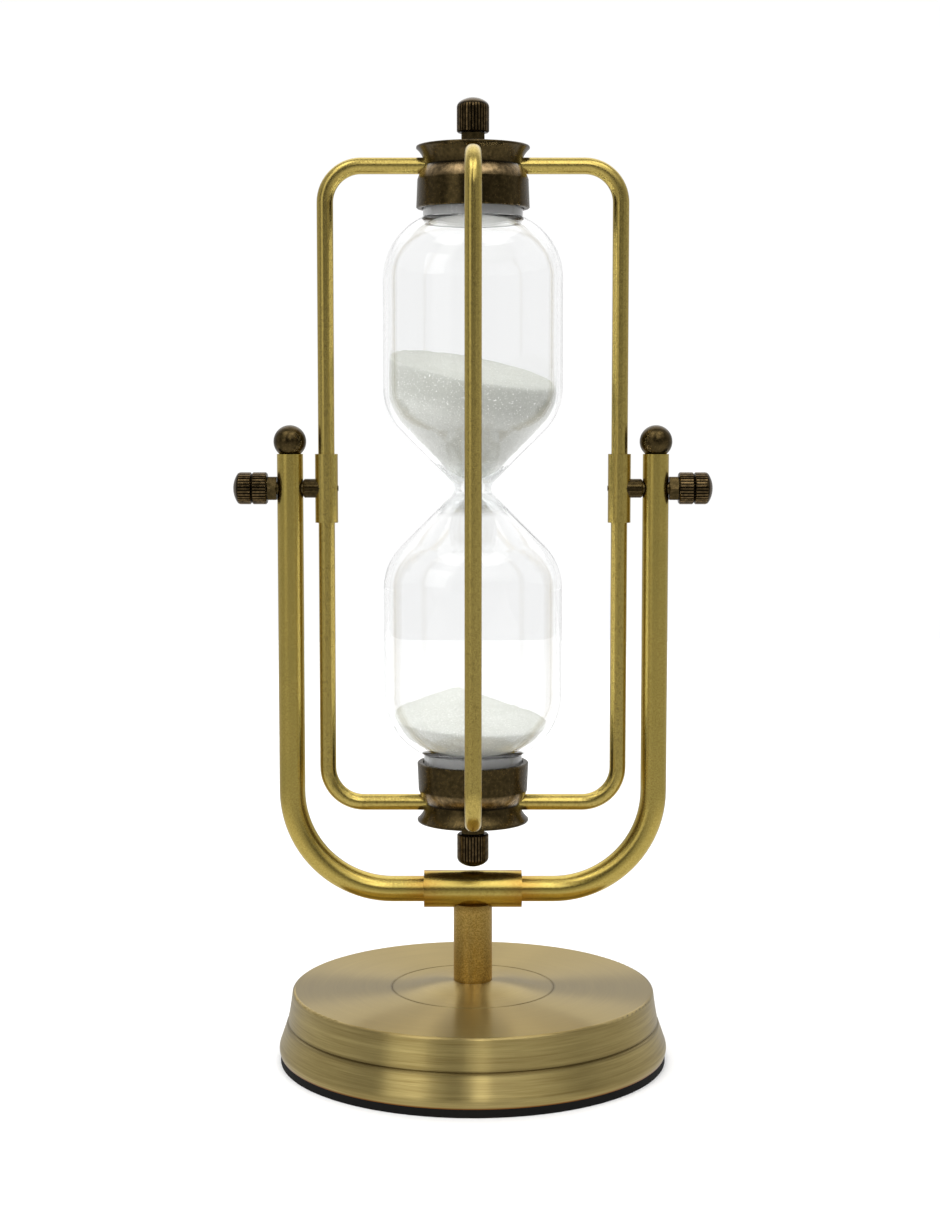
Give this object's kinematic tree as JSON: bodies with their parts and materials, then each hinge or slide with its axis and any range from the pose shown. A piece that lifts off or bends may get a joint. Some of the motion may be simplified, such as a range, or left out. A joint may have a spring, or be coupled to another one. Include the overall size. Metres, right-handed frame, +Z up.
{
  "type": "hourglass",
  "caption": "Rotating hourglass: a sand glass in a wire cage with end caps that turns on pivots between the arms of a bent-tube yoke on a round weighted base.",
  "frame": {"origin": "centre of the base's underside, where it rests on the table", "axes": "+Z up along the glass; +X along the pivot axis, to the right from the front; -Y is the front"},
  "size_m": [0.147, 0.121, 0.2959],
  "materials": {
    "satin_brass": "satin",
    "brushed_base_brass": "satin",
    "antique_bronze": "satin",
    "clear_glass": "gloss",
    "white_sand": "matte",
    "grey_rubber": "matte",
    "foot_rubber": "matte",
    "cast_iron": "matte",
    "plated_steel": "satin"
  },
  "bodies": {
    "stand": {"foot_pad": "foot_rubber", "base_shell": "brushed_base_brass", "base_weight": "cast_iron", "post": "satin_brass", "post_stud": "plated_steel", "post_washer": "plated_steel", "post_nut": "plated_steel", "tee_sleeve": "satin_brass", "yoke_arm_left": "satin_brass", "yoke_arm_right": "satin_brass", "ball_finial_left": "antique_bronze", "ball_finial_right": "antique_bronze"},
    "cage": {"hourglass_glass": "clear_glass", "upper_sand": "white_sand", "lower_sand": "white_sand", "side_rod_left": "satin_brass", "side_rod_right": "satin_brass", "front_rod": "satin_brass", "rear_rod": "satin_brass", "rod_sleeve_left": "satin_brass", "rod_sleeve_right": "satin_brass", "pivot_stud_left": "antique_bronze", "pivot_stud_right": "antique_bronze", "pivot_spacer_left": "antique_bronze", "pivot_spacer_right": "antique_bronze", "pivot_nut_left": "antique_bronze", "pivot_nut_right": "antique_bronze", "upper_cup": "antique_bronze", "upper_flange": "antique_bronze", "upper_stopper": "grey_rubber", "upper_cushion_pad": "grey_rubber", "upper_cap_screw": "antique_bronze", "upper_cap_nut": "antique_bronze", "lower_cup": "antique_bronze", "lower_flange": "antique_bronze", "lower_stopper": "grey_rubber", "lower_cushion_pad": "grey_rubber", "lower_cap_screw": "antique_bronze", "lower_cap_nut": "antique_bronze"},
    "pivot_knob_left": {"pivot_knob_left": "antique_bronze"},
    "pivot_knob_right": {"pivot_knob_right": "antique_bronze"},
    "upper_cap_knob": {"upper_cap_knob": "antique_bronze"},
    "lower_cap_knob": {"lower_cap_knob": "antique_bronze"}
  },
  "joints": [
    {"name": "cage_spin", "type": "hinge", "parent": "stand", "child": "cage", "pos_m": [0, 0, 0.17815], "axis": [1, 0, 0], "continuous": true},
    {"name": "pivot_knob_left_turn", "type": "hinge", "parent": "cage", "child": "pivot_knob_left", "pos_m": [-0.068, 0, 0.17815], "axis": [-1, 0, 0], "continuous": true},
    {"name": "pivot_knob_right_turn", "type": "hinge", "parent": "cage", "child": "pivot_knob_right", "pos_m": [0.068, 0, 0.17815], "axis": [1, 0, 0], "continuous": true},
    {"name": "upper_cap_knob_turn", "type": "hinge", "parent": "cage", "child": "upper_cap_knob", "pos_m": [0, 0, 0.29015], "axis": [0, 0, 1], "continuous": true},
    {"name": "lower_cap_knob_turn", "type": "hinge", "parent": "cage", "child": "lower_cap_knob", "pos_m": [0, 0, 0.06615], "axis": [0, 0, -1], "continuous": true}
  ]
}
